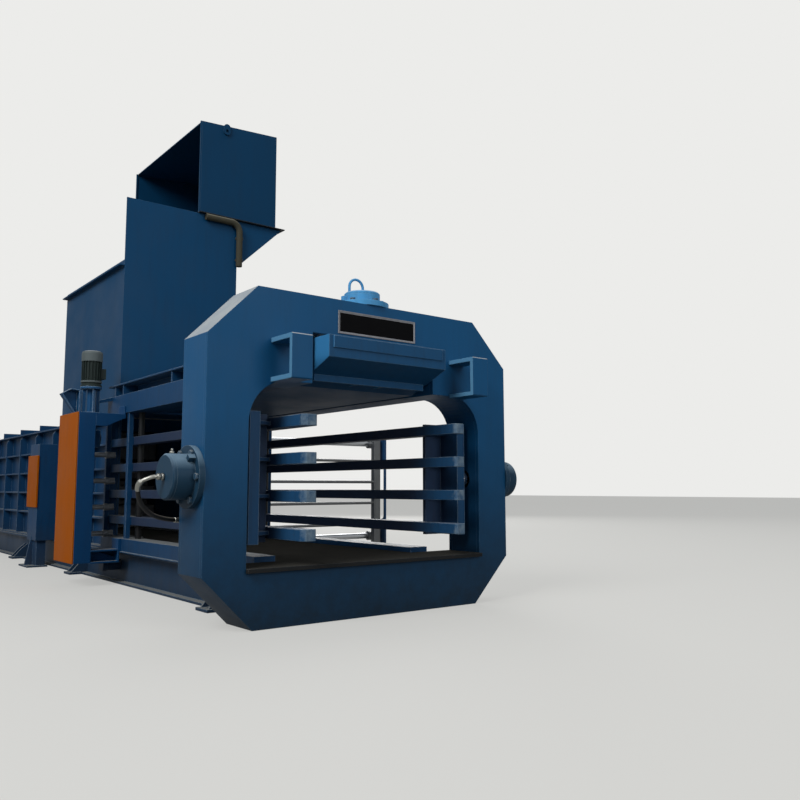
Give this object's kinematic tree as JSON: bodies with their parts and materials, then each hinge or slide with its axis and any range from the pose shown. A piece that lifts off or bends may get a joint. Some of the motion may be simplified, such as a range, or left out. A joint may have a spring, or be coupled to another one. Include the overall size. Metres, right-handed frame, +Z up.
{
  "type": "recycling baler",
  "caption": "Horizontal channel baler with an octagonal clamp portal, slatted side doors, a top door, a hooded feed hopper, a slotted ram and a wire tie unit.",
  "frame": {"origin": "on the floor under the middle of the portal, at the portal's foot", "axes": "+X along the channel, the way the bale leaves; +Y away from the tie unit; +Z up"},
  "size_m": [8.915, 3.812, 4.59],
  "materials": {
    "blue_paint": "worn semi-gloss",
    "side_blue_paint": "worn semi-gloss",
    "cylinder_blue_paint": "dusty satin",
    "pale_blue_paint": "satin",
    "orange_paint": "satin",
    "dark_paint": "satin",
    "bare_steel": "worn",
    "rod_chrome": "polished",
    "grey_casting": "painted casting",
    "brass_fitting": "dull",
    "black_rubber": "matt",
    "dusty_conduit": "rusty and dusty"
  },
  "bodies": {
    "frame": {"base_frame": "blue_paint", "foot_lugs": "blue_paint", "channel_floor": "bare_steel", "channel_side_near": "blue_paint", "channel_side_far": "blue_paint", "channel_roof": "blue_paint", "portal_front_plate": "blue_paint", "portal_rear_plate": "blue_paint", "portal_wrap": "side_blue_paint", "portal_liner": "blue_paint", "side_wall_near": "blue_paint", "side_wall_far": "blue_paint", "chamber_roof": "blue_paint", "ram_rails": "bare_steel", "fixed_knife": "bare_steel", "rear_crosshead": "blue_paint", "main_barrel": "blue_paint", "main_gland": "bare_steel", "main_rear_cap": "bare_steel", "hopper_chute": "blue_paint", "hopper_seam": "dark_paint", "hopper_hood": "blue_paint", "hopper_conduit": "dusty_conduit", "near_clamp_barrel": "cylinder_blue_paint", "near_clamp_cap": "cylinder_blue_paint", "far_clamp_barrel": "cylinder_blue_paint", "far_clamp_cap": "cylinder_blue_paint", "top_clamp_barrel": "pale_blue_paint", "top_clamp_cap": "pale_blue_paint", "clamp_flange_bolts": "bare_steel", "hose_fittings": "brass_fitting", "near_hose": "black_rubber", "far_hose": "black_rubber", "hinge_pins": "bare_steel", "tie_case": "blue_paint", "tie_guard": "orange_paint", "tie_arms": "blue_paint", "tie_gearbox": "blue_paint", "tie_motor": "grey_casting", "side_post": "blue_paint", "post_cover": "orange_paint", "needle_guide": "blue_paint", "needle_rails": "rod_chrome", "needle_barrel": "blue_paint"},
    "ram": {"ram_head": "bare_steel", "ram_body": "blue_paint", "ram_knife": "bare_steel", "main_rod": "rod_chrome"},
    "near_door": {"near_door": "blue_paint"},
    "far_door": {"far_door": "blue_paint"},
    "top_door": {"top_door": "blue_paint"},
    "near_rod": {"near_rod": "rod_chrome"},
    "far_rod": {"far_rod": "rod_chrome"},
    "top_rod": {"top_rod": "rod_chrome"},
    "needle_carriage": {"needle_carriage": "bare_steel"},
    "drive_pinion": {"drive_pinion": "bare_steel"},
    "twister_1": {"twister_1": "bare_steel"},
    "twister_2": {"twister_2": "bare_steel"},
    "twister_3": {"twister_3": "bare_steel"},
    "twister_4": {"twister_4": "bare_steel"}
  },
  "joints": [
    {"name": "ram_slide", "type": "slide", "parent": "frame", "child": "ram", "axis": [1, 0, 0], "range_m": [0, 2.35]},
    {"name": "near_door_swing", "type": "hinge", "parent": "frame", "child": "near_door", "pos_m": [-2.38, -0.6, 0.87], "axis": [0, 0, 1], "range_deg": [-0.5, 1.75]},
    {"name": "far_door_swing", "type": "hinge", "parent": "frame", "child": "far_door", "pos_m": [-2.38, 0.6, 0.87], "axis": [0, 0, -1], "range_deg": [-0.5, 1.75]},
    {"name": "top_door_swing", "type": "hinge", "parent": "frame", "child": "top_door", "pos_m": [-2.4, 0, 1.6], "axis": [0, 1, 0], "range_deg": [-0.3, 2]},
    {"name": "near_rod_slide", "type": "slide", "parent": "frame", "child": "near_rod", "axis": [0, 1, 0], "range_m": [-0.021, 0.073]},
    {"name": "far_rod_slide", "type": "slide", "parent": "frame", "child": "far_rod", "axis": [0, -1, 0], "range_m": [-0.021, 0.073]},
    {"name": "top_rod_slide", "type": "slide", "parent": "frame", "child": "top_rod", "axis": [0, 0, -1], "range_m": [-0.013, 0.084]},
    {"name": "needle_slide", "type": "slide", "parent": "frame", "child": "needle_carriage", "axis": [0, -1, 0], "range_m": [0, 1.37]},
    {"name": "twister_1_spin", "type": "hinge", "parent": "frame", "child": "twister_1", "pos_m": [-2.74, -1.048, 0.4215], "axis": [0, 1, 0], "continuous": true},
    {"name": "twister_2_spin", "type": "hinge", "parent": "frame", "child": "twister_2", "pos_m": [-2.74, -1.048, 0.6465], "axis": [0, 1, 0], "continuous": true},
    {"name": "twister_3_spin", "type": "hinge", "parent": "frame", "child": "twister_3", "pos_m": [-2.74, -1.048, 0.8715], "axis": [0, 1, 0], "continuous": true},
    {"name": "twister_4_spin", "type": "hinge", "parent": "frame", "child": "twister_4", "pos_m": [-2.74, -1.048, 1.0965], "axis": [0, 1, 0], "continuous": true},
    {"name": "pinion_spin", "type": "hinge", "parent": "frame", "child": "drive_pinion", "pos_m": [-2.85007, -1.048, 1.23892], "axis": [0, 1, 0], "continuous": true}
  ],
  "couplings": [
    {"joint": "near_rod_slide", "follows": "near_door_swing", "m_per_rad": 2.376},
    {"joint": "far_rod_slide", "follows": "far_door_swing", "m_per_rad": 2.376},
    {"joint": "top_rod_slide", "follows": "top_door_swing", "m_per_rad": 2.396},
    {"joint": "twister_2_spin", "follows": "twister_1_spin", "ratio": -1},
    {"joint": "twister_3_spin", "follows": "twister_1_spin", "ratio": 1},
    {"joint": "twister_4_spin", "follows": "twister_1_spin", "ratio": -1},
    {"joint": "pinion_spin", "follows": "twister_1_spin", "ratio": 1.6667}
  ]
}
